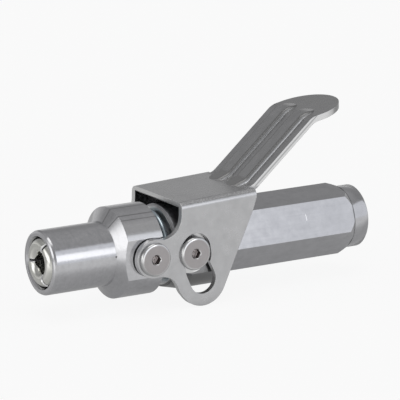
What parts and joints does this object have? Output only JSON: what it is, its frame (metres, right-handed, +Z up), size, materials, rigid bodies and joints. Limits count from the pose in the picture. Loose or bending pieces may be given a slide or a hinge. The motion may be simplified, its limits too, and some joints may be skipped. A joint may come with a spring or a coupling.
{
  "type": "grease coupler",
  "caption": "Grease gun coupler: jaws in a sliding sleeve grip a nipple, a bent locking lever with cam slots works the sleeve, and a hexagonal barrel takes the hose.",
  "frame": {"origin": "centre of the threaded inlet's mouth, in the collar's end face", "axes": "+X out of the inlet along the barrel, so the jaws are at -X; +Z up, the side the lever's channel and handle are on"},
  "size_m": [0.1039, 0.03, 0.0515],
  "materials": {
    "plated_steel": "bright nickel-zinc plate over turned steel",
    "sheet_steel": "satin stamped sheet, plated",
    "screw_steel": "plated screw, slightly warm",
    "jaw_steel": "hardened and nickel plated",
    "spring_steel": "blue-black drawn wire",
    "ball_steel": "polished bearing steel",
    "seal_rubber": "black nitrile",
    "copper": "soft copper"
  },
  "bodies": {
    "body": {"body": "plated_steel", "hex_barrel": "plated_steel", "barrel_gasket": "copper", "spring_washer": "sheet_steel", "main_spring": "spring_steel", "jaw_ring": "spring_steel", "seal_spring": "spring_steel", "valve_plate": "plated_steel", "check_spring": "spring_steel", "cam_screw_left": "screw_steel", "cam_screw_right": "screw_steel", "cam_bush_left": "plated_steel", "cam_bush_right": "plated_steel"},
    "sleeve": {"sleeve": "plated_steel", "pivot_screw_left": "screw_steel", "pivot_screw_right": "screw_steel"},
    "lever": {"lever": "sheet_steel"},
    "jaw_1": {"jaw_1": "jaw_steel"},
    "jaw_2": {"jaw_2": "jaw_steel"},
    "jaw_3": {"jaw_3": "jaw_steel"},
    "nozzle": {"nozzle": "plated_steel", "nozzle_seal": "seal_rubber", "nozzle_o_ring": "seal_rubber"},
    "check_ball": {"check_ball": "ball_steel"}
  },
  "joints": [
    {"name": "lever_hinge", "type": "hinge", "parent": "sleeve", "child": "lever", "pos_m": [-0.07456, 0, 0], "axis": [0, -1, 0], "range_deg": [0, 28]},
    {"name": "sleeve_slide", "type": "slide", "parent": "body", "child": "sleeve", "axis": [-1, 0, 0], "range_m": [0, 0.00484], "deforming": ["main_spring"]},
    {"name": "jaw_1_tilt", "type": "hinge", "parent": "body", "child": "jaw_1", "pos_m": [-0.08668, -0.0052, 0], "axis": [0, 0, 1], "range_deg": [0, 1.8]},
    {"name": "jaw_2_tilt", "type": "hinge", "parent": "body", "child": "jaw_2", "pos_m": [-0.08668, 0.0026, 0.0045], "axis": [0, 0.866, -0.5], "range_deg": [0, 1.8]},
    {"name": "jaw_3_tilt", "type": "hinge", "parent": "body", "child": "jaw_3", "pos_m": [-0.08668, 0.0026, -0.0045], "axis": [0, -0.866, -0.5], "range_deg": [0, 1.8]},
    {"name": "nozzle_slide", "type": "slide", "parent": "body", "child": "nozzle", "axis": [1, 0, 0], "range_m": [0, 0.001], "stiffness_N_per_m": 1500, "springref_m": -0.001, "deforming": ["seal_spring"]},
    {"name": "check_lift", "type": "slide", "parent": "body", "child": "check_ball", "axis": [-1, 0, 0], "range_m": [0, 0.0008], "stiffness_N_per_m": 200, "springref_m": -0.001, "deforming": ["check_spring"]}
  ],
  "couplings": [
    {"joint": "sleeve_slide", "follows": "lever_hinge", "m_per_rad": 0.0099},
    {"joint": "jaw_1_tilt", "follows": "lever_hinge", "ratio": 0.064286},
    {"joint": "jaw_2_tilt", "follows": "lever_hinge", "ratio": 0.064286},
    {"joint": "jaw_3_tilt", "follows": "lever_hinge", "ratio": 0.064286}
  ]
}
